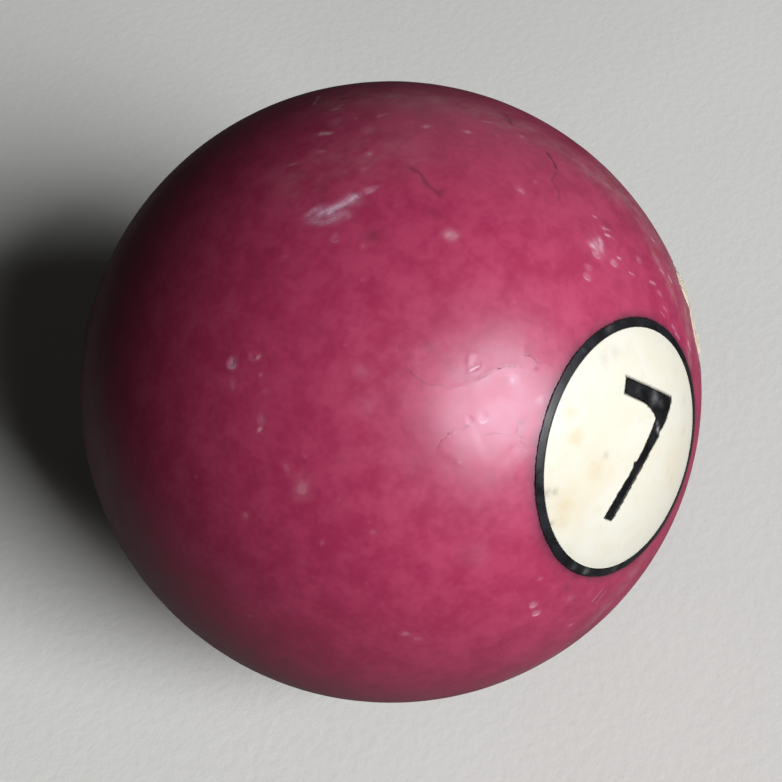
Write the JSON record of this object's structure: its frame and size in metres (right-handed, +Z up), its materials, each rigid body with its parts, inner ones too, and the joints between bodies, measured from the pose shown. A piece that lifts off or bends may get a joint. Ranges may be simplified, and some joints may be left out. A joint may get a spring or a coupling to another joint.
{
  "type": "pool ball",
  "caption": "Worn solid-colour pool ball: a thin maroon skin over a cream core, with white number discs in black rings let into opposite sides.",
  "frame": {"origin": "the ball's centre", "axes": "+Z is up. The front number faces -Y and is tilted 26 degrees up; its numeral has rolled 53 degrees clockwise from upright. The rear number is opposite."},
  "size_m": [0.0572, 0.0572, 0.0572],
  "materials": {
    "core_composition": "cream filled composition, granular where broken",
    "maroon_resin": "worn maroon resin, satin with cloudy mottling, small dings and scuffs",
    "white_disc": "off-white resin with yellow-brown stains",
    "black_ring": "satin black resin",
    "black_numeral": "satin black resin"
  },
  "bodies": {
    "root": {"core_ball": "core_composition", "colour_skin": "maroon_resin", "number_disc_front": "white_disc", "number_disc_rear": "white_disc", "number_ring_front": "black_ring", "number_ring_rear": "black_ring", "numeral_front": "black_numeral", "numeral_rear": "black_numeral"}
  },
  "joints": []
}
